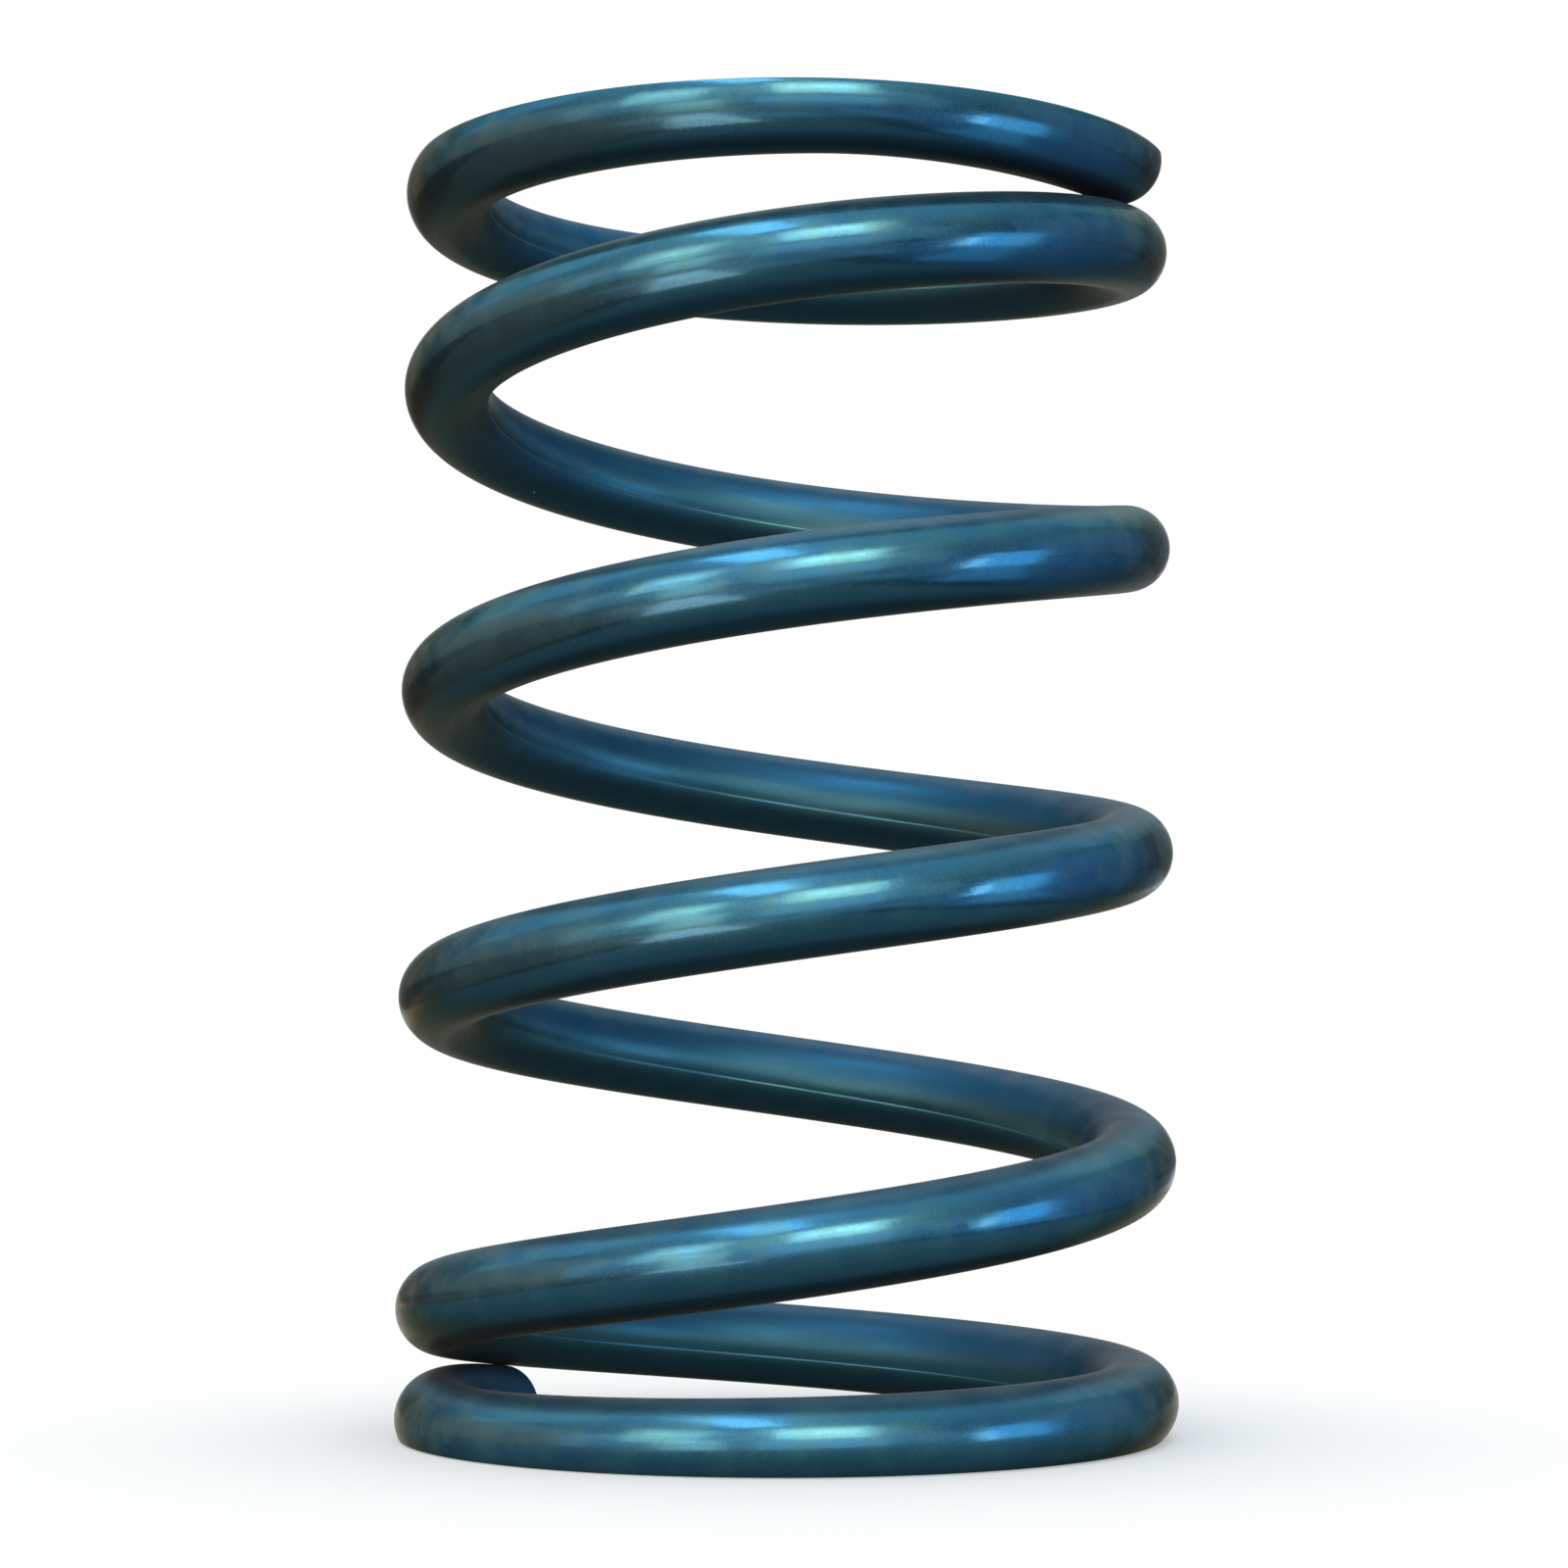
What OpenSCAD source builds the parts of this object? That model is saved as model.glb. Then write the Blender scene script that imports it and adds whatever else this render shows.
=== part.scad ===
// Helical compression valve spring: one length of round wire, wound right-handed,
// with both end coils closed and ground flat so that the spring stands square.
// Millimetres, +Z along the spring's axis, origin at the centre of the lower ground face.

/* [Wire] */
// Diameter of the round wire
wire_d = 3.2; // [2.4:0.1:3.8]

/* [Coil] */
// Diameter of the coil at the middle of the wire
coil_d = 25.3; // [18:0.1:36]
// Height between the two ground faces, with no load on the spring
free_h = 46.8; // [38:0.1:60]
// Turns of wire from one tip to the other
turns = 5.55; // [4.5:0.05:6.5]
// Direction of the lower tip, seen from above, from +X towards +Y
lower_tip_deg = 148; // [0:1:359]

/* [Closed and ground ends] */
// Turns from each tip over which the end coil keeps its flattest pitch
closed_turns = 0.55; // [0.3:0.05:0.8]
// Turns from each tip at which the pitch has opened out fully
open_turns = 1.15; // [1.05:0.05:1.5]
// Space between each tip and the coil beside it
tip_gap = 0.1; // [0.05:0.05:0.6]
// Thickness of wire that the grinding leaves at each tip
tip_t = 1.9; // [1.2:0.1:2.3]

/* [Smoothness] */
// Wire sections in each turn
sections_per_turn = 45; // [24:1:48]
// Sides of each wire section
section_sides = 20; // [12:2:20]

/* [Hidden] */

wire_r = wire_d / 2;
coil_r = coil_d / 2;

// Height of the wire's middle over the ground face, at a tip
tip_mid_h = tip_t - wire_r;
// Rise of the wire's middle in the first turn, which lays the tip beside the next coil
first_turn_rise = wire_d + tip_gap;

// The pitch opens over this many turns, centred on blend_mid turns from the tip
blend_turns = open_turns - closed_turns;
blend_mid = (open_turns + closed_turns) / 2;

// Share of the pitch change that has added up over the first x of the blend, in turns
function opened(x) = blend_turns * (pow(x, 3) - pow(x, 4) / 2);
opened_at_one = opened((1 - closed_turns) / blend_turns);

// Open pitch that makes the two halves of the spring meet at half the free height
half_rise = free_h / 2 - tip_mid_h;
closed_part = blend_mid / (1 - opened_at_one);
open_pitch = (half_rise - closed_part * first_turn_rise)
    / (turns / 2 - blend_mid - closed_part * opened_at_one);
// Flat pitch of the end coil, from the rise of its first turn
closed_pitch = (first_turn_rise - open_pitch * opened_at_one) / (1 - opened_at_one);

// Rise of the wire's middle over s turns from a tip
function rise(s) = closed_pitch * s + (open_pitch - closed_pitch) * opening(s);
function opening(s) =
    s <= closed_turns ? 0
    : s < open_turns ? opened((s - closed_turns) / blend_turns)
    : s - blend_mid;

// Pitch at s turns from a tip: a smooth step from the closed to the open pitch
function pitch(s) =
    let (x = min(1, max(0, (s - closed_turns) / blend_turns)))
    closed_pitch + (open_pitch - closed_pitch) * x * x * (3 - 2 * x);

// Height and pitch of the wire's middle t turns up from the lower tip: both ends alike
function mid_h(t) = t < turns / 2 ? tip_mid_h + rise(t) : free_h - tip_mid_h - rise(turns - t);
function mid_pitch(t) = pitch(min(t, turns - t));

// One point on the wire's surface, t turns up and at angle a round the wire from its outer side
function wire_point(t, a) =
    let (
        turn_deg = lower_tip_deg + 360 * t,
        lean = atan2(mid_pitch(t), PI * coil_d),
        out = coil_r + wire_r * cos(a),
        up = wire_r * sin(a)
    )
    [
        out * cos(turn_deg) + up * sin(lean) * sin(turn_deg),
        out * sin(turn_deg) - up * sin(lean) * cos(turn_deg),
        mid_h(t) + up * cos(lean)
    ];

section_count = ceil(turns * sections_per_turn);

wire_points = [
    for (i = [0:section_count], j = [0:section_sides - 1])
        wire_point(turns * i / section_count, 360 * j / section_sides)
];

function wire_index(i, j) = i * section_sides + j % section_sides;

wire_faces = [
    for (i = [0:section_count - 1], j = [0:section_sides - 1])
        each [
            [wire_index(i, j), wire_index(i, j + 1), wire_index(i + 1, j + 1)],
            [wire_index(i, j), wire_index(i + 1, j + 1), wire_index(i + 1, j)]
        ],
    [for (j = [section_sides - 1:-1:0]) wire_index(0, j)],
    [for (j = [0:section_sides - 1]) wire_index(section_count, j)]
];

// The wire as it is coiled, before its ends are ground
module coiled_wire() {
    polyhedron(points = wire_points, faces = wire_faces, convexity = 12);
}

// What lies between the two grinding wheels
module between_ground_faces() {
    width = 2 * (coil_d + wire_d);
    translate([-width / 2, -width / 2, 0]) cube([width, width, free_h]);
}

module valve_spring() {
    color("#1f4a5c")
        intersection() {
            coiled_wire();
            between_ground_faces();
        }
}

valve_spring();
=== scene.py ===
# %% [markdown]
# # A valve spring wound from one wire
#
# A valve spring pushes an engine's valve shut. It is one length of round steel wire, wound into
# an open coil. At both ends the coil closes up and is ground flat, so that the spring stands
# square, and the whole wire has a thin, satin, dark blue-green coat. The CAD model has the right
# size and the right coils, but its wire is made of flat facets. This lesson sweeps the same wire
# again with a fine round section, adds the marks of its making, coats it and lights it.
#
# The packed CAD model is loaded first. It stays where it is, and the new wire keeps its height and
# width.

import bpy
import numpy as np
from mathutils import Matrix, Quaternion, Vector


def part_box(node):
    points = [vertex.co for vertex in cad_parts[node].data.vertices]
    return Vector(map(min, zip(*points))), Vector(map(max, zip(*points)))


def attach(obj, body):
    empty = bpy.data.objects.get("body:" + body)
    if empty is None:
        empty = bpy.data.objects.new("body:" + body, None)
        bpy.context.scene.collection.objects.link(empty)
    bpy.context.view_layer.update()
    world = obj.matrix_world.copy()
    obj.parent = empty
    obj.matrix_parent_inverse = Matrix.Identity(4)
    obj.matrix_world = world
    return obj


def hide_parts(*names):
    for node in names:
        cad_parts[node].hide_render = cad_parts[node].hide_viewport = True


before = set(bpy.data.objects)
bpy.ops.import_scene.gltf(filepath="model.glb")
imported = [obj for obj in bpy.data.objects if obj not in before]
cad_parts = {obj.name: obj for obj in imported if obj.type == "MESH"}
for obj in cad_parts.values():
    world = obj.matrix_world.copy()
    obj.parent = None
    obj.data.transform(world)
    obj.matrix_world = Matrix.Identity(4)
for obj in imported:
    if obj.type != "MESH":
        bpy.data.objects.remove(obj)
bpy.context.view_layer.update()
spring_lo, spring_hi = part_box("valve_spring")
print("CAD box in mm", [round(1000 * side, 2) for side in spring_hi - spring_lo])

# %% [markdown]
# ## The sizes that drive the coil
#
# A spring maker's drawing gives the wire, the coil, the free height, the number of turns, and how
# the ends close. The height and the outer width come from the CAD box, so the new wire can't
# stand outside it. The turns and the end coils repeat the CAD source, because a script that is
# run somewhere else can't read that file. One thing differs. The CAD solid keeps a tenth of a
# millimetre between each tip and the next coil, so that it stays one clean solid. On the real
# spring the tip is pressed against the next coil. So the gap is almost nothing here, and just
# behind each tip the wire curls towards that coil by a little over a quarter of a millimetre.

# %% Wire, coil and end coils
MM = 0.001
WIRE_R = 1.6 * MM
FREE_H = spring_hi.z - spring_lo.z
OUTER_R = min(-spring_lo.x, spring_hi.x, -spring_lo.y, spring_hi.y)
COIL_R = OUTER_R - WIRE_R

TURNS = 5.55
LOWER_TIP = np.radians(148)
CLOSED_TURNS = 0.55
OPEN_TURNS = 1.15
TIP_GAP = 0.02 * MM
TIP_CURL = 0.28 * MM
CURL_TURNS = 0.2
CURL_SCALE = 27 / 4
TIP_T = 1.9 * MM
print("coil radius %.3f mm, free height %.2f mm" % (COIL_R / MM, FREE_H / MM))

# %% [markdown]
# ## How the wire rises
#
# On a coiling machine a pitch tool pushes the wire sideways as it is bent. The tool is held back
# for the first part of a turn, so the end coil lies almost flat, then it moves out smoothly and
# stays out. Near each tip the rise is therefore a small steady pitch, and it opens to the large
# pitch along a smooth step. Two facts fix both pitches: the tip lies just clear of the next coil
# after one turn, and the two halves of the spring meet at half the free height.

# %% Pitch and height of the wire's middle
BLEND_TURNS = OPEN_TURNS - CLOSED_TURNS
BLEND_MID = (OPEN_TURNS + CLOSED_TURNS) / 2
TIP_MID_H = TIP_T - WIRE_R
FIRST_TURN_RISE = 2 * WIRE_R + TIP_GAP


def blend_share(turns_from_tip):
    """How far through the opening blend a place is, from 0 to 1."""
    return np.clip((turns_from_tip - CLOSED_TURNS) / BLEND_TURNS, 0, 1)


def opening(turns_from_tip):
    """Turns of open pitch gained so far: the running sum of a smooth step, x cubed less half of
    x to the fourth, and one for one after the blend."""
    x = blend_share(turns_from_tip)
    return BLEND_TURNS * (x**3 - x**4 / 2) + np.maximum(turns_from_tip - OPEN_TURNS, 0)


closed_part = BLEND_MID / (1 - opening(1.0))
open_pitch = (FREE_H / 2 - TIP_MID_H - closed_part * FIRST_TURN_RISE) / (
    TURNS / 2 - BLEND_MID - closed_part * opening(1.0)
)
closed_pitch = (FIRST_TURN_RISE - open_pitch * opening(1.0)) / (1 - opening(1.0))


def wire_height(turn):
    """Height of the wire's middle: closed pitch times turns from the nearer tip, plus the pitch
    change times the turns that it has been open, plus a curl behind the tip, which goes as x times
    the square of 1 less x and is scaled to a peak of 1. The upper half is the lower half turned
    over."""
    from_tip = np.minimum(turn, TURNS - turn)
    rise = closed_pitch * from_tip + (open_pitch - closed_pitch) * opening(from_tip)
    x = np.clip(from_tip / CURL_TURNS, 0, 1)
    rise = rise + TIP_CURL * CURL_SCALE * x * (1 - x) ** 2
    return np.where(turn < TURNS / 2, TIP_MID_H + rise, FREE_H - TIP_MID_H - rise)


def wire_lean(turn):
    """Angle of the wire above level: arctangent of the pitch over the coil's circumference."""
    x = blend_share(np.minimum(turn, TURNS - turn))
    pitch = closed_pitch + (open_pitch - closed_pitch) * x * x * (3 - 2 * x)
    return np.arctan2(pitch, 2 * np.pi * COIL_R)


print("open pitch %.3f mm, closed pitch %.3f mm" % (open_pitch / MM, closed_pitch / MM))

# %% [markdown]
# ## Where the sections stand along the wire
#
# The wire is drawn as rings, one after another along its length. The cut ends are flat faces
# with a softened edge, so each end begins with a few small rings that grow across the cut face,
# then three that follow the rounded edge, and only then the even rings of the wire.

# %% Rings along the wire
EVEN_RINGS = 940
EDGE_R = 0.14 * MM
TURN_LENGTH = np.hypot(2 * np.pi * COIL_R, closed_pitch)

face_scale = np.array([0.25, 0.5, 0.75, 0.875])
edge_angle = np.radians([90, 60, 30])
edge_scale = 1 - EDGE_R / WIRE_R * (1 - np.cos(edge_angle))
edge_turn = EDGE_R * (1 - np.sin(edge_angle)) / TURN_LENGTH
end_turn = np.concatenate([np.zeros(len(face_scale)), edge_turn])
end_scale = np.concatenate([face_scale, edge_scale])
first_even = EDGE_R / TURN_LENGTH
even_turn = np.linspace(first_even, TURNS - first_even, EVEN_RINGS)
turn = np.concatenate([end_turn, even_turn, TURNS - end_turn[::-1]])
scale = np.concatenate([end_scale, np.ones(EVEN_RINGS), end_scale[::-1]])
print("rings", len(turn), "about", round(TURNS * TURN_LENGTH / EVEN_RINGS / MM, 2), "mm apart")

# %% [markdown]
# ## The wire's section
#
# The section is a circle with three marks on it. Grinding takes a flat off the lower or the upper
# side of the end coils. Coiling rubs a narrow band on the inner side, where the wire was bent
# round the arbor, and the band's lower border is a fine scored line that follows the wire from
# end to end. Angles go round the section from its outer side, up over the top.
#
# A flat cut out of evenly spaced points would have a ragged border. So each ring's points are
# spread in zones, whose borders move with the flats and hold still at the scored line.

# %% Zones of points round the section
SMALLEST_FLAT = np.radians(11)
SCORE_AT = np.radians(195)
SCORE_HALF = np.radians(1.6)
ZONE_GAP = np.radians(1.0)
# Outer side, upper flat, upper inner side, scored line, lower inner side, lower flat
ZONE_POINTS = [38, 10, 20, 8, 12, 10]
ZONE_CROWDING = [0.55, 0.5, 0.6, 0.0, 0.6, 0.5]

mid_h = wire_height(turn)
lean = wire_lean(turn)


def flat_half_angle(height):
    """Half angle of the flat that a plane leaves: arccosine of its distance over the radius."""
    share = np.clip(height / (WIRE_R * np.cos(lean)), -1, 1)
    return np.maximum(np.arccos(share), SMALLEST_FLAT)


def crowded_ends(count, crowding):
    """Shares from 0 to under 1 that lie closer near both ends: x less a sine of one period."""
    x = np.arange(count) / count
    return x - crowding * np.sin(2 * np.pi * x) / (2 * np.pi)


lower_flat = flat_half_angle(mid_h)
upper_flat = flat_half_angle(FREE_H - mid_h)
lower_in = 1.5 * np.pi - lower_flat
score_end = np.minimum(SCORE_AT + SCORE_HALF, lower_in - 2 * ZONE_GAP)
score_start = np.minimum(SCORE_AT - SCORE_HALF, score_end - 2 * ZONE_GAP)
borders = [
    lower_flat - 0.5 * np.pi,
    0.5 * np.pi - upper_flat,
    0.5 * np.pi + upper_flat,
    score_start,
    score_end,
    lower_in,
    1.5 * np.pi + lower_flat,
]
shares = [crowded_ends(count, crowding) for count, crowding in zip(ZONE_POINTS, ZONE_CROWDING)]
angle = np.concatenate(
    [
        start[:, None] + (stop - start)[:, None] * share
        for start, stop, share in zip(borders, borders[1:], shares)
    ],
    axis=1,
)
print("points round the wire", angle.shape[1], "points in all", angle.size)

# %% [markdown]
# Now every point gets its place in the section: how far out from the coil's axis and how far up
# across the wire. The inner band is sunk a little deeper towards its lower border, where the
# surface steps back out to the circle. The step's wall faces up and catches the light all along
# the wire. The flats come from a smooth maximum of the circle and the grinding plane, which
# rounds their sharp borders as tumbling does.

# %% Circle, band, scored line and flats
BAND_TOP = np.radians(166)
BAND_DEPTH = 0.045 * MM
DEPTH_VARIES = 0.12
WAVES = (9, 4.3)
BURR_R = 0.06 * MM


def smooth_max(a, b, width):
    """The larger of a and b, with a parabola of this width in place of the corner."""
    near = np.maximum(width - np.abs(a - b), 0)
    return np.maximum(a, b) + near**2 / (4 * width)


def smooth_step(x):
    """Three x squared less two x cubed, held at 0 and 1 outside that range."""
    x = np.clip(x, 0, 1)
    return x * x * (3 - 2 * x)


def section_radius(angle, turn):
    """Circle radius less the band's depth, which grows as a square from the band's top to the
    scored line and goes back to nothing across the line, and varies a little along the wire."""
    into_band = np.clip((angle - BAND_TOP) / (SCORE_AT - BAND_TOP), 0, 1)
    across_line = (angle - SCORE_AT) / SCORE_HALF
    wave = np.sin(WAVES[0] * turn) * np.sin(WAVES[1] * turn + 1)
    depth = BAND_DEPTH * (1 - DEPTH_VARIES + DEPTH_VARIES * wave)
    return WIRE_R - depth * into_band**2 * (1 - smooth_step(across_line / 2 + 0.5))


radius = section_radius(angle, turn[:, None])
out = radius * np.cos(angle)
up = radius * np.sin(angle)
floor_up = (-mid_h / np.cos(lean))[:, None]
ceiling_up = ((FREE_H - mid_h) / np.cos(lean))[:, None]
ground = np.maximum(floor_up - up, up - ceiling_up) > 0
up = smooth_max(up, floor_up, BURR_R)
up = -smooth_max(-up, -ceiling_up, BURR_R)
up = np.clip(up, floor_up, ceiling_up)
print("share of points on the ground faces %.3f" % ground.mean())

# %% [markdown]
# ## The wire carried round the coil
#
# Each section stands square to the wire: out is away from the coil's axis, and up leans back by
# the wire's own angle. At the ends the section shrinks about its own middle, which gives the cut
# face and its soft edge. One more point closes the middle of each cut face.

# %% Points, faces and the mesh
centre_out = out.mean(axis=1, keepdims=True)
centre_up = up.mean(axis=1, keepdims=True)
out = centre_out + (out - centre_out) * scale[:, None]
up = centre_up + (up - centre_up) * scale[:, None]


def on_coil(turn, out, up):
    """Turn the section's out and up into x, y and z round the coil's upright axis."""
    round_axis = LOWER_TIP + 2 * np.pi * turn
    lean = wire_lean(turn)
    reach = COIL_R + out
    back = up * np.sin(lean)
    return np.stack(
        [
            reach * np.cos(round_axis) + back * np.sin(round_axis),
            reach * np.sin(round_axis) - back * np.cos(round_axis),
            wire_height(turn) + up * np.cos(lean),
        ],
        axis=-1,
    )


points = on_coil(turn[:, None], out, up)
tips = on_coil(turn[[0, -1]], centre_out[[0, -1], 0], centre_up[[0, -1], 0])
ring_count, round_count = angle.shape
number = np.arange(ring_count * round_count).reshape(ring_count, round_count)
beside = np.roll(number, -1, axis=1)
sides = np.stack([number[:-1], number[1:], beside[1:], beside[:-1]], axis=-1).reshape(-1, 4)
first_tip = number.size + np.zeros(round_count, int)
start_face = np.stack([first_tip, number[0], beside[0]], axis=-1)
end_face = np.stack([first_tip + 1, beside[-1], number[-1]], axis=-1)

wire_mesh = bpy.data.meshes.new("valve_spring_wire")
wire_mesh.from_pydata(
    np.concatenate([points.reshape(-1, 3), tips]).tolist(),
    [],
    sides.tolist() + start_face.tolist() + end_face.tolist(),
)
wire_mesh.polygons.foreach_set("use_smooth", np.ones(len(wire_mesh.polygons), bool))
triangles = 2 * len(sides) + 2 * round_count
print("triangles", triangles)

# %% [markdown]
# The finish has to follow the wire and not the room: drawing lines run along it and the rubbed
# band stays on its inner side. So each point also remembers where it was while the wire was
# still straight, in millimetres: along the wire, out and up. A second value marks the ground
# faces, which carry the wheel's marks.

# %% The straight wire as an attribute
along = np.broadcast_to((turn * TURN_LENGTH)[:, None], out.shape)
straight = np.stack([along, out, up], axis=-1).reshape(-1, 3) / MM
tip_straight = np.stack(
    [turn[[0, -1]] * TURN_LENGTH, centre_out[[0, -1], 0], centre_up[[0, -1], 0]], axis=-1
)
straight = np.concatenate([straight, tip_straight / MM])
place = wire_mesh.attributes.new("straight_wire", "FLOAT_VECTOR", "POINT")
place.data.foreach_set("vector", straight.ravel())
mark = wire_mesh.attributes.new("ground_face", "FLOAT", "POINT")
mark.data.foreach_set("value", np.concatenate([ground.ravel(), [0, 0]]).astype(float))

spring = bpy.data.objects.new("valve_spring_coil", wire_mesh)
bpy.context.scene.collection.objects.link(spring)
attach(spring, "root")
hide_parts("valve_spring")
print("wire length about %.0f mm" % (TURNS * TURN_LENGTH / MM))

# %% [markdown]
# ## Shader maths as expressions
#
# A material is a net of nodes. Wired by hand, a formula of ten terms is ten nodes and twenty
# lines. The class below wraps one output of a node, so that plain arithmetic adds the Math nodes
# by itself. Everything that isn't arithmetic comes from one method, make.


# %% A small class for node outputs
class Finish:
    """One output of a shader node, or a whole node tree to start from."""

    def __init__(self, tree, socket=None):
        self.tree = tree
        self.socket = socket

    def make(self, kind, settings=None, sockets=None, output=0):
        """Add a node: its settings first, then its sockets, as values or as links."""
        node = self.tree.nodes.new(kind)
        for name, value in (settings or {}).items():
            setattr(node, name, value)
        for name, value in (sockets or {}).items():
            if isinstance(value, Finish):
                self.tree.links.new(value.socket, node.inputs[name])
            else:
                node.inputs[name].default_value = value
        return Finish(self.tree, node.outputs[output] if node.outputs else None)

    def math(self, operation, *values):
        """A Math node with these values or links, in order."""
        return self.make("ShaderNodeMath", {"operation": operation}, dict(enumerate(values)))

    def __add__(self, other):
        return self.math("ADD", self, other)

    def __sub__(self, other):
        return self.math("SUBTRACT", self, other)

    def __rsub__(self, other):
        return self.math("SUBTRACT", other, self)

    def __mul__(self, other):
        return self.math("MULTIPLY", self, other)

    __radd__ = __add__
    __rmul__ = __mul__

    def step(self, low, high):
        """A smooth step from 0 at low to 1 at high."""
        sockets = {"Value": self, "From Min": low, "From Max": high}
        return self.make("ShaderNodeMapRange", {"interpolation_type": "SMOOTHSTEP"}, sockets)

    def noise(self, scale, detail=2.0):
        """Noise of this scale, read at this position."""
        return self.make(
            "ShaderNodeTexNoise", None, {"Vector": self, "Scale": scale, "Detail": detail}
        )

    def stretched(self, x, y, z):
        """This position with each axis multiplied by its own factor."""
        sockets = {0: self, 1: (x, y, z)}
        return self.make("ShaderNodeVectorMath", {"operation": "MULTIPLY"}, sockets)

    def blend(self, start, end):
        """The colour that lies this share of the way from start to end."""
        return self.make("ShaderNodeMix", {"data_type": "RGBA"}, {0: self, 6: start, 7: end}, 2)


def new_material(name):
    """An empty material and the Finish that starts its node tree."""
    material = bpy.data.materials.new(name)
    material.use_nodes = True
    material.node_tree.nodes.clear()
    return material, Finish(material.node_tree)


print("operators ready:", [name for name in vars(Finish) if name.startswith("__r")])

# %% [markdown]
# ## The coat on the wire
#
# The coat is thin and lets the drawn steel shine through it, so its gloss takes the coat's own
# blue-green. A metallic surface of that colour gives this. Layers of unevenness keep it from
# looking like plastic: slow clouds and blotches in the colour, fine lines along the wire from the
# drawing die, and the small orange peel and grain of the coat itself.
#
# The coat also differs round the wire. Angles here are degrees below the inner side. The inner
# side is dull down to the scored line, a rubbed band lies along the line, and the top and the
# underside are found by height across the wire.

# %% Places round the wire
INSIDE_START = (-125, -85)
INSIDE_STOP = (-16, 10)
BAND_MIDDLE = 6
BAND_REACH = (10, 24)
BELOW_LINE_START = (12, 24)
SPECKS_START = (0, 15)
UNDER_STOP = (70, 90)
UPPER_MM = (-1.2, 0.4)
FAR_MM = (0.85, 1.4)

coat, start = new_material("coated_wire")
wire = start.make("ShaderNodeAttribute", {"attribute_name": "straight_wire"}, None, "Vector")
on_ground = start.make("ShaderNodeAttribute", {"attribute_name": "ground_face"}, None, "Fac")
split = wire.make("ShaderNodeSeparateXYZ", None, {0: wire}).socket.node
out_mm = Finish(wire.tree, split.outputs["Y"])
up_mm = Finish(wire.tree, split.outputs["Z"])
below_inner = wire.math("ARCTAN2", up_mm * -1, out_mm * -1) * (180 / np.pi)
short_of_bottom = 1 - below_inner.step(*UNDER_STOP)
dull_inside = below_inner.step(*INSIDE_START) * (1 - below_inner.step(*INSIDE_STOP))
rubbed = 1 - wire.math("ABSOLUTE", below_inner - BAND_MIDDLE).step(*BAND_REACH)
# The lower inner side below the scored line: darkened in the colour as painted shade, and rougher.
below_line = below_inner.step(*BELOW_LINE_START) * short_of_bottom
speckled = below_inner.step(*SPECKS_START) * short_of_bottom
upper_side = up_mm.step(*UPPER_MM)
top_side = up_mm.step(*FAR_MM)
far_side = wire.math("ABSOLUTE", up_mm).step(*FAR_MM)
print("place nodes", len(coat.node_tree.nodes))

# %% [markdown]
# The patterns are noise, read on the straight wire in millimetres, so their scale is in waves per
# millimetre. The drawing lines are noise stretched along the wire. The wheel's lines run straight
# across the ground faces, so they are read in the spring's own metres.

# %% Patterns on the straight wire
LINES = (0.12, 9, 9)
WHEEL_LINES = (9000, 500, 0)
SPECK_CELLS = 0.42
SPECK_EDGE = (0.012, 0.026)
HAZE_SHARE = 0.7
HAZE_EDGE = (0.40, 0.66)
HAZE_MM = (-1.3, 0.2)
LINE_SHARE = 0.35
LINE_EDGE = (0.42, 0.62)
GRAIN_EDGE = (0.40, 0.65)

clouds = wire.noise(0.35, 4)
blotches = wire.noise(1.7, 3)
drawn = wire.stretched(*LINES).noise(1.0, 3)
haze = wire.noise(0.75, 1.5)
peel = wire.noise(3.2, 2)
grain = wire.noise(9.0, 2)
own_place = start.make("ShaderNodeTexCoord", None, None, "Object")
wheel = own_place.stretched(*WHEEL_LINES).noise(1.0, 3)
cells = wire.make(
    "ShaderNodeTexVoronoi", None, {"Vector": wire, "Scale": SPECK_CELLS, "Randomness": 1.0}
).socket.node
cell_size = Finish(wire.tree, cells.outputs["Distance"])
speck = (1 - cell_size.step(*SPECK_EDGE)) * speckled
patches = haze * HAZE_SHARE + blotches * (1 - HAZE_SHARE)
hazy = patches.step(*HAZE_EDGE) * up_mm.step(*HAZE_MM)
satin = drawn.step(*LINE_EDGE) * LINE_SHARE + grain.step(*GRAIN_EDGE) * (1 - LINE_SHARE)
print("pattern nodes", len(coat.node_tree.nodes))

# %% [markdown]
# The colour is a blue-green that clouds towards blue and olive. The underside is darkened as
# painted shade, a pale haze of dust lies in patches on the upper side, the inside is a deep blue,
# the rubbed band is worn paler, and the part below the scored line is darkened as painted shade,
# with a few pale specks.

# %% Colour of the coat
TEAL = (0.0185, 0.074, 0.110, 1)
BLUE = (0.0150, 0.064, 0.110, 1)
OLIVE = (0.0212, 0.069, 0.092, 1)
INSIDE = (0.0095, 0.050, 0.094, 1)
UNDERSIDE_SHADE = (0.0100, 0.041, 0.060, 1)
HAZE = (0.0205, 0.082, 0.103, 1)
WORN = (0.0240, 0.085, 0.105, 1)
BELOW_LINE_SHADE = (0.0090, 0.030, 0.040, 1)
DUST = (0.35, 0.38, 0.38, 1)
CLOUD_EDGE = (0.35, 0.65)
BLOTCH_EDGE = (0.5, 0.75)

colour = clouds.step(*CLOUD_EDGE).blend(TEAL, BLUE)
# Where, how strong at most, and which colour, from the lowest layer to the highest
layers = [
    (blotches.step(*BLOTCH_EDGE), 0.5, OLIVE),
    # Painted shade: the lower half of the wire is darkened in its colour.
    (1 - upper_side, 1.0, UNDERSIDE_SHADE),
    (hazy, 0.45, HAZE),
    (dull_inside, 1.0, INSIDE),
    (rubbed, 0.6, WORN),
    # Painted shade: below the scored line, on the lower inner side, the colour is darkened.
    (below_line, 0.5, BELOW_LINE_SHADE),
    (speck, 0.6, DUST),
]
for where, strength, tint in layers:
    colour = (where * strength).blend(colour, tint)
print("colour nodes", len(coat.node_tree.nodes))
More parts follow.
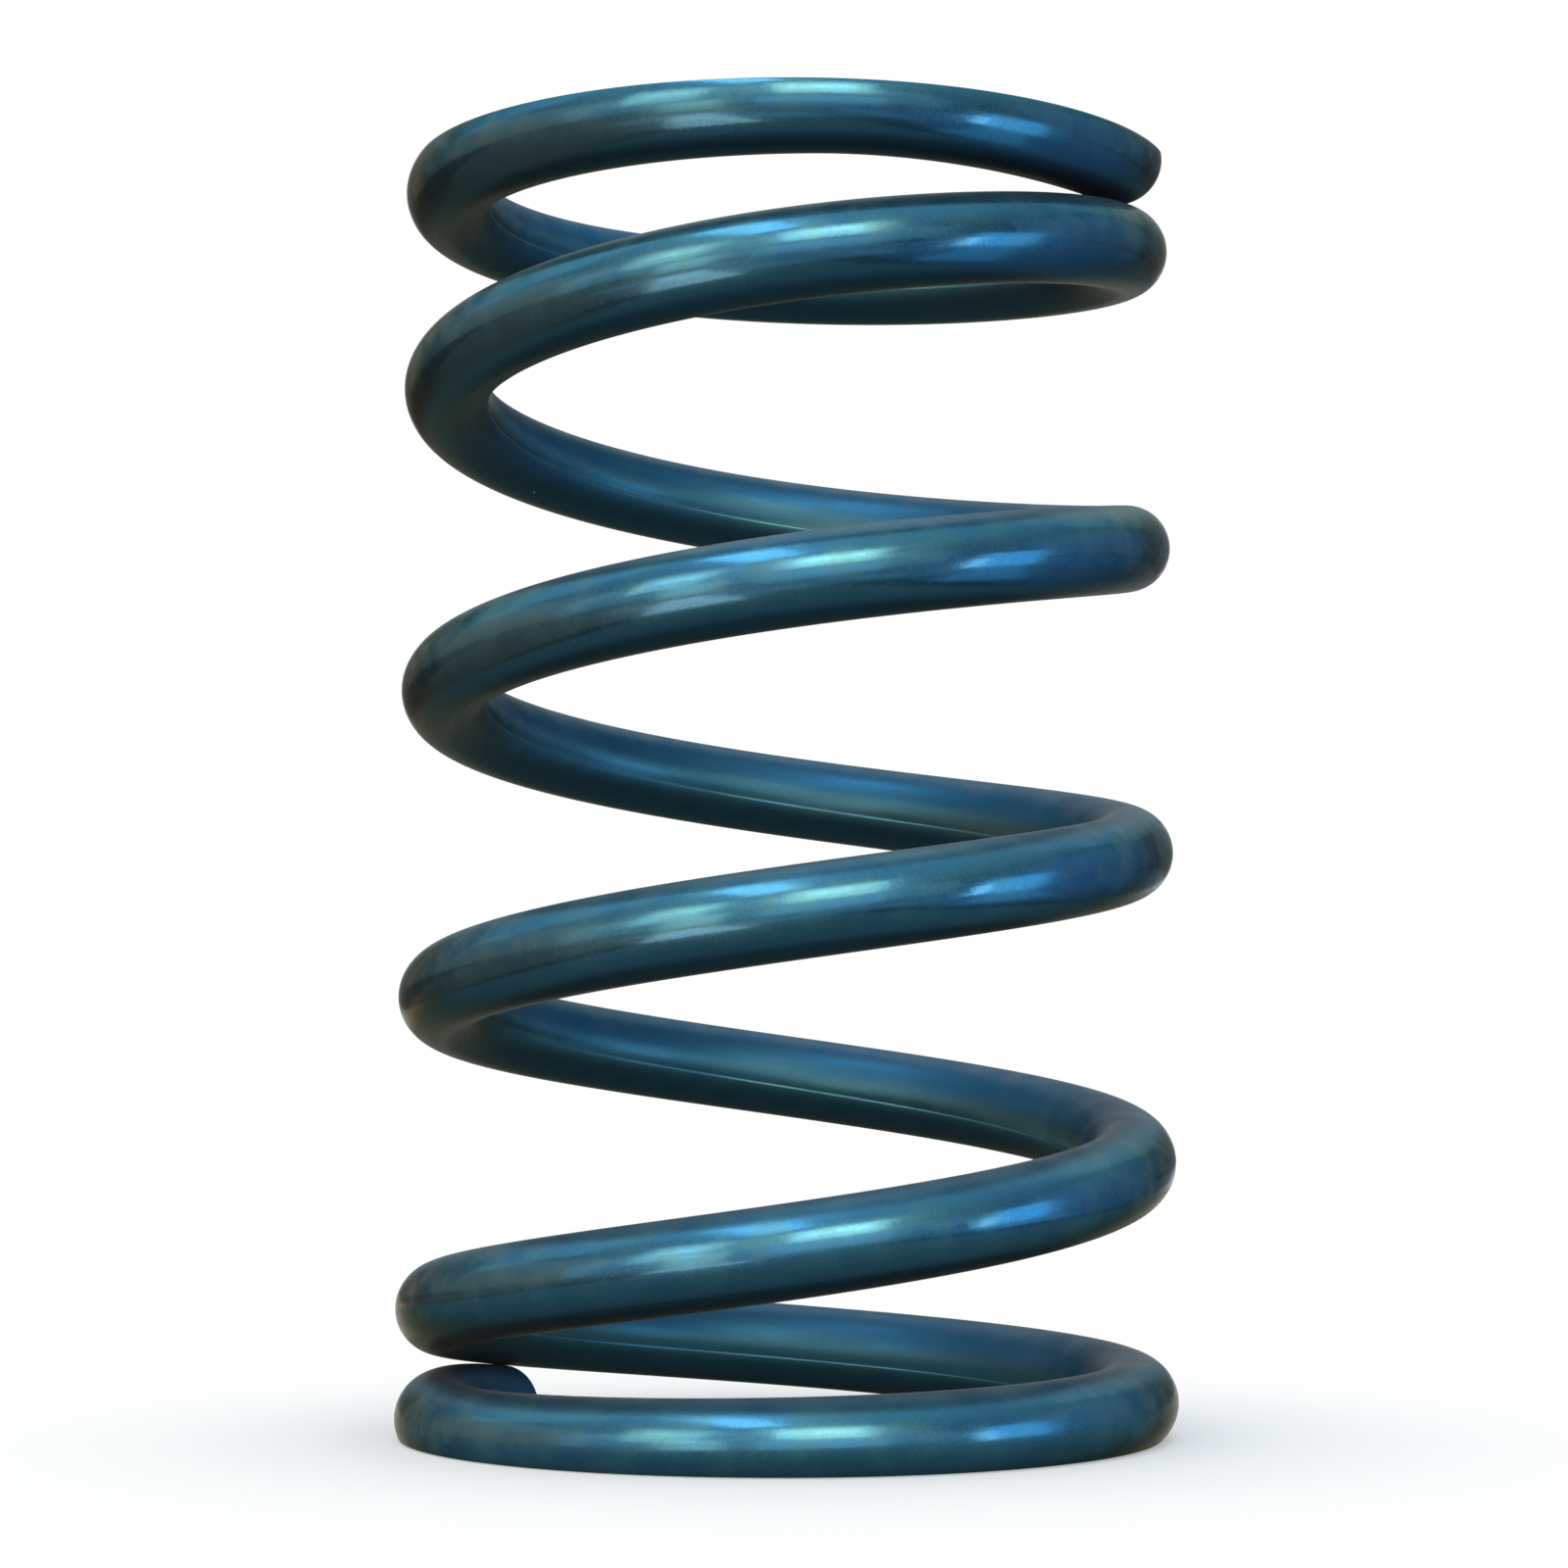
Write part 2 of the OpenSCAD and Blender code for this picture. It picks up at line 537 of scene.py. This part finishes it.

# %% [markdown]
# One roughness can't give both the crisp marks of the windows and the soft glow round them. So
# the coat has two lobes of gloss, a soft one and a clearer one, and the grain sets the share of
# each. The inside, the rubbed band, the part below the scored line, the top and the underside are
# rougher, and the ground faces are too. Dust on the top and in the haze makes the coat a little
# less metallic.

# %% Gloss of the coat
SOFT_ROUGHNESS = 0.42
CLEAREST = 0.085
TOP_LESS_METAL = 0.2
HAZE_LESS_METAL = 0.15
CLEAR_LEAST = 0.48
CLEAR_BY_GRAIN = 0.36
CLEAR_GRAIN_EDGE = (0.35, 0.65)
CLEAR_LOST_IN_HAZE = 0.1

# Where, and how much rougher than the clearest part
rougher = [
    (satin, 0.12),
    (clouds, 0.05),
    (dull_inside, 0.34),
    (on_ground, 0.12),
    (speck, 0.3),
    (far_side * (1 - dull_inside), 0.26),
    (hazy, 0.05),
    (below_line, 0.3),
    (rubbed, 0.16),
]
gloss = CLEAREST + sum(where * amount for where, amount in rougher)
metal = 1 - top_side * TOP_LESS_METAL - hazy * HAZE_LESS_METAL
grainy = grain.step(*CLEAR_GRAIN_EDGE)
clear_share = CLEAR_LEAST + grainy * CLEAR_BY_GRAIN - hazy * CLEAR_LOST_IN_HAZE
print("gloss nodes", len(coat.node_tree.nodes))

# %% [markdown]
# The relief is a bump a few thousandths of a millimetre deep: drawing lines, which are deeper on
# the rubbed band, orange peel, blotches, and the wheel's lines on the ground faces. Both lobes
# share it. A faint warm bloom lies along the edges.

# %% Relief, and the finished coat
RELIEF_DEPTH = 2.5e-6
DRAWN_HEIGHT = 0.12
RUBBED_HEIGHT = 0.3
PEEL_HEIGHT = 0.7
BLOTCH_HEIGHT = 1.3
WHEEL_HEIGHT = 3.0
EDGE_TINT = (0.46, 0.43, 0.34, 1)
BLOOM = 0.03
BLOOM_ROUGHNESS = 0.5
BLOOM_TINT = (1.0, 0.62, 0.36, 1)

relief = (
    drawn * (DRAWN_HEIGHT + rubbed * RUBBED_HEIGHT)
    + peel * PEEL_HEIGHT
    + blotches * BLOTCH_HEIGHT
    + on_ground * wheel * WHEEL_HEIGHT
)
bump = wire.make(
    "ShaderNodeBump", None, {"Strength": 1.0, "Distance": RELIEF_DEPTH, "Height": relief}
)
shine = [
    wire.make(
        "ShaderNodeBsdfPrincipled",
        None,
        {
            "Base Color": colour,
            "Roughness": roughness,
            "Metallic": metal,
            "Specular Tint": EDGE_TINT,
            "Sheen Weight": BLOOM,
            "Sheen Roughness": BLOOM_ROUGHNESS,
            "Sheen Tint": BLOOM_TINT,
            "Normal": bump,
        },
    )
    for roughness in (SOFT_ROUGHNESS, gloss)
]
shader = wire.make("ShaderNodeMixShader", None, {0: clear_share, 1: shine[0], 2: shine[1]})
wire.make("ShaderNodeOutputMaterial", None, {"Surface": shader})
wire_mesh.materials.append(coat)
print("coat nodes", len(coat.node_tree.nodes))

# %% [markdown]
# ## The paper, the table and the room
#
# The photograph has a plain white ground. Shiny wire shows the whole room, so a room that is
# white on every side would wash out the dark sides that give the coil its shape. So the white is
# only a strip of paper, little wider than the camera's view. It lies under the spring, runs back
# and curves up into a wall. Under it is a grey table, and round it a dim room that is lighter
# overhead. Close to the spring the paper is a plain pale surface, which keeps the shadow. Further
# out, Light Path shows plain white to rays from the camera, from a gloss and through a clear
# body, so the background is white without more light on the spring. The fade from pale to white
# round the spring is partly that real shadow and partly a painted shade pool.

# %% Paper: floor, curve and wall
PAPER_FRONT = -0.10
PAPER_BACK = 0.55
PAPER_CURVE = 0.25
PAPER_TOP = 0.32
PAPER_DROP = 0.02 * MM
PAPER_NARROWEST = 0.004
PAPER_SPREAD = 0.225
CAMERA_BACK = 0.1377
BEND_POINTS = 17

bend = np.linspace(0, np.pi / 2, BEND_POINTS)
paper_y = np.concatenate([[PAPER_FRONT, 0], PAPER_BACK + PAPER_CURVE * np.sin(bend)])
paper_z = np.concatenate([[0, 0], PAPER_CURVE * (1 - np.cos(bend))])
paper_y = np.append(paper_y, PAPER_BACK + PAPER_CURVE)
paper_z = np.append(paper_z, PAPER_TOP)
paper_half = PAPER_NARROWEST + PAPER_SPREAD * (paper_y + CAMERA_BACK)
paper_x = paper_half[:, None] * np.linspace(-1, 1, 3)
paper_points = np.stack(np.broadcast_arrays(paper_x, paper_y[:, None], paper_z[:, None]), axis=-1)
paper_points = paper_points - [0, 0, PAPER_DROP]
paper_number = np.arange(paper_x.size).reshape(paper_x.shape)
paper_faces = np.stack(
    [
        paper_number[:-1, :-1],
        paper_number[:-1, 1:],
        paper_number[1:, 1:],
        paper_number[1:, :-1],
    ],
    axis=-1,
)
paper_mesh = bpy.data.meshes.new("paper")
paper_mesh.from_pydata(
    paper_points.reshape(-1, 3).tolist(), [], paper_faces.reshape(-1, 4).tolist()
)
paper_mesh.polygons.foreach_set("use_smooth", np.ones(len(paper_mesh.polygons), bool))
print("paper faces", len(paper_mesh.polygons), "up", paper_mesh.polygons[0].normal[:])

# %% Table, and both on the stage
TABLE_HALF = 2.0
TABLE_DROP = 1 * MM

table_corners = np.array([[-1, -1], [1, -1], [1, 1], [-1, 1]]) * TABLE_HALF
table_points = np.column_stack([table_corners, np.full(4, -TABLE_DROP)])
table_mesh = bpy.data.meshes.new("table")
table_mesh.from_pydata(table_points.tolist(), [], [[0, 1, 2, 3]])
for staged in (paper_mesh, table_mesh):
    holder = bpy.data.objects.new(staged.name, staged)
    bpy.context.scene.collection.objects.link(holder)
    print("on the stage:", holder.name)


# %% Paper and table colours
def plainly_seen(start):
    """1 for rays from the camera, from a gloss or through a clear body, and 0 for the rest."""
    path = start.make("ShaderNodeLightPath").socket.node
    names = ["Is Camera Ray", "Is Glossy Ray", "Is Transmission Ray"]
    camera, glossy, clear = [Finish(start.tree, path.outputs[name]) for name in names]
    return start.math("MAXIMUM", start.math("MAXIMUM", camera, glossy), clear)


PALE = (0.66, 0.61, 0.59, 1)
GREY = (0.15, 0.15, 0.15, 1)
WHITE = (1, 1, 1, 1)
# Painted shade pool: within this distance of the spring the paper fades from the lit pale surface
# to white.
SHADE_POOL_START = 0.0
SHADE_POOL_RADIUS = 0.037
paper, start = new_material("white_paper")
where = start.make("ShaderNodeTexCoord", None, None, "Object")
distance = where.make("ShaderNodeVectorMath", {"operation": "LENGTH"}, {0: where}, "Value")
white_beyond_shade_pool = distance.step(SHADE_POOL_START, SHADE_POOL_RADIUS) * plainly_seen(start)
matt = start.make("ShaderNodeBsdfDiffuse", None, {"Color": PALE})
glow = start.make("ShaderNodeEmission", None, {"Color": WHITE, "Strength": 1.0})
surface = start.make("ShaderNodeMixShader", None, {0: white_beyond_shade_pool, 1: matt, 2: glow})
start.make("ShaderNodeOutputMaterial", None, {"Surface": surface})
paper_mesh.materials.append(paper)

cloth, start = new_material("grey_table")
matt = start.make("ShaderNodeBsdfDiffuse", None, {"Color": GREY})
start.make("ShaderNodeOutputMaterial", None, {"Surface": matt})
table_mesh.materials.append(cloth)
print("paper nodes", len(paper.node_tree.nodes), "table nodes", len(cloth.node_tree.nodes))

# %% A room that is lighter overhead
ROOM_LOW = 0.3
ROOM_HIGH = 2.2
SKY = (0.80, 1.0, 1.08, 1)
room = bpy.data.worlds.new("dim_room")
room.use_nodes = True
room.node_tree.nodes.clear()
start = Finish(room.node_tree)
direction = start.make("ShaderNodeTexCoord", None, None, "Generated")
upward = start.make("ShaderNodeSeparateXYZ", None, {0: direction}, "Z")
upward = start.math("MAXIMUM", upward, 0.0)
sky = start.make(
    "ShaderNodeBackground", None, {"Color": SKY, "Strength": ROOM_LOW + ROOM_HIGH * upward * upward}
)
start.make("ShaderNodeOutputWorld", None, {"Surface": sky})
bpy.context.scene.world = room
print("room light from", ROOM_LOW, "to", ROOM_LOW + ROOM_HIGH)

# %% [markdown]
# ## Soft lamps
#
# The marks along each coil show what stood round the spring: bright warm panes in front, a blue
# one high on the left, and a blue one low on the right with a bright edge. Each is an area lamp
# that faces the spring, given by its direction, its width and height in degrees, and how bright
# it looks. The power follows from that: brightness times area times pi.

# %% Two ways to place a lamp
spring_middle = Vector((0, 0, FREE_H / 2))


def lamp_at(name, centre, toward, roll, width, height, brightness, colour):
    """An area lamp at a place, turned to face back along a direction."""
    lamp = bpy.data.lights.new(name, "AREA")
    lamp.shape = "RECTANGLE"
    lamp.size = width
    lamp.size_y = height
    lamp.energy = brightness * np.pi * width * height
    lamp.color = colour
    holder = bpy.data.objects.new(name, lamp)
    holder.location = centre
    holder.rotation_mode = "QUATERNION"
    turned = Quaternion((0, 0, 1), np.radians(roll))
    holder.rotation_quaternion = toward.to_track_quat("Z", "Y") @ turned
    holder.visible_camera = False
    bpy.context.scene.collection.objects.link(holder)
    return holder


def soft_lamp(name, azimuth, elevation, width, height, brightness, colour, away, roll=0):
    """A lamp by its direction, azimuth from the camera's side towards +X, and size in degrees."""
    across, above = np.radians([azimuth, elevation])
    toward = Vector(
        (np.sin(across) * np.cos(above), -np.cos(across) * np.cos(above), np.sin(above))
    )
    wide, high = 2 * away * np.tan(np.radians([width, height]) / 2)
    return lamp_at(
        name, spring_middle + away * toward, toward, roll, wide, high, brightness, colour
    )


print("lamps face the middle of the spring, at", round(spring_middle.z / MM, 1), "mm")

# %% [markdown]
# Most of what the gloss shows must not add to the plain light on the spring and the paper. So the
# panes, and the small glares and large dull boards that lie on the table beside the spring and
# face up, are seen in the gloss alone. Three large soft lamps, in front, on the left and on the
# right, give the plain light.

# %% Panes, glares, boards and soft lamps
WARM = (0.96, 0.63, 0.44)
MINT = (0.86, 0.66, 0.47)
COOL = (1.0, 0.85, 0.92)
PALE_BLUE = (0.80, 0.88, 1.0)
PALE_WARM = (1.0, 0.54, 0.46)
NEUTRAL = (0.92, 0.92, 1.0)
BLUE_SKY = (0.34, 0.68, 1.0)
BROWN = (1.0, 0.40, 0.24)
NAVY = (0.60, 0.58, 0.92)
EARTH = (1.0, 0.58, 0.45)
DEEP_BLUE = (0.44, 0.56, 1.0)
# Degrees of azimuth, elevation, width and height; brightness, colour, metres away, and a roll
directed_panes = [
    ("front_pane", 11, 34, 26, 26, 16.4, WARM, 1.2),
    ("front_core", 11, 37, 17, 10, 12.0, MINT, 1.19),
    ("left_pane", -38, 29, 22, 28, 9.3, WARM, 1.2),
    ("left_core", -37, 32, 14, 9, 7.5, MINT, 1.19),
    ("left_low_pane", -27, 4, 17, 22, 8.0, WARM, 0.25),
    ("high_pane", -30, 66, 13, 34, 11.6, PALE_BLUE, 1.2, 41),
    ("right_pane", 66, -1, 22, 28, 6.5, BLUE_SKY, 0.13),
    ("right_edge", 55, -3, 5, 16, 14.0, COOL, 0.13),
    ("sill", 10, 4, 36, 24, 2.4, NEUTRAL, 0.3),
    ("left_back", -132, 6, 34, 40, 0.9, EARTH, 1.2),
    ("back_high", -165, 58, 100, 46, 1.4, NEUTRAL, 1.2),
]
# Place in millimetres; turn in degrees, width and height in metres, brightness, colour
table_panes = [
    ("left_glare", (-37, -82, 0.5), 30, 0.028, 0.08, 12.8, PALE_WARM),
    ("right_glare", (78, -36, 0.5), -65, 0.03, 0.08, 2.4, BLUE_SKY),
    ("front_glare", (-20, -185, 0.5), 0, 0.16, 0.23, 1.2, NEUTRAL),
    ("left_board", (-298, -130, 0.4), 0, 0.52, 0.38, 1.2, BROWN),
    ("right_board", (298, 20, 0.4), 0, 0.52, 0.60, 1.05, DEEP_BLUE),
]
soft_lamps = [
    ("front_wall", -10, 16, 115, 44, 1.4, NEUTRAL, 1.2),
    ("left_fill", -88, 9, 58, 46, 2.2, BROWN, 1.2),
    ("right_fill", 105, 8, 60, 50, 0.9, NAVY, 1.2),
]
down = Vector((0, 0, -1))
panes = [soft_lamp(*row) for row in directed_panes]
for name, place_mm, turned, *rest in table_panes:
    panes.append(lamp_at(name, Vector(place_mm) * MM, down, turned, *rest))
for pane in panes:
    pane.visible_diffuse = False
for row in soft_lamps:
    soft_lamp(*row)
print("lamps", len(bpy.data.lights))

# %% [markdown]
# ## The camera
#
# The photograph looks slightly up from below the spring's middle, through a long lens. The lens
# points a little above the middle of the frame, so the frame is shifted down to match. The place,
# the angle and the lens come from laying the coil over the photograph.

# %% Camera at the photograph's place
IMAGE_PX = 1600
FOCAL_PX = 3796.85
PRINCIPAL_UP_PX = 112
CAMERA_MM = (-0.091, -137.72, 14.03)
LOOKS_UP_DEG = 5.724

lens = bpy.data.cameras.new("photo_camera")
lens.sensor_width = 36
lens.lens = FOCAL_PX / IMAGE_PX * lens.sensor_width
lens.shift_y = -PRINCIPAL_UP_PX / IMAGE_PX
lens.clip_start = 0.01
camera = bpy.data.objects.new("photo_camera", lens)
camera.location = Vector(CAMERA_MM) * MM
camera.rotation_euler = (np.radians(90 + LOOKS_UP_DEG), 0, 0)
bpy.context.scene.collection.objects.link(camera)
bpy.context.scene.camera = camera
bpy.context.scene.view_settings.view_transform = "Standard"
print("lens %.1f mm, shift %.3f" % (lens.lens, lens.shift_y))

# %% [markdown]
# ## Sizes kept
#
# Dressing the part must not change its size. The CAD box is printed at the start, and the new wire
# takes its height and outer width from it.
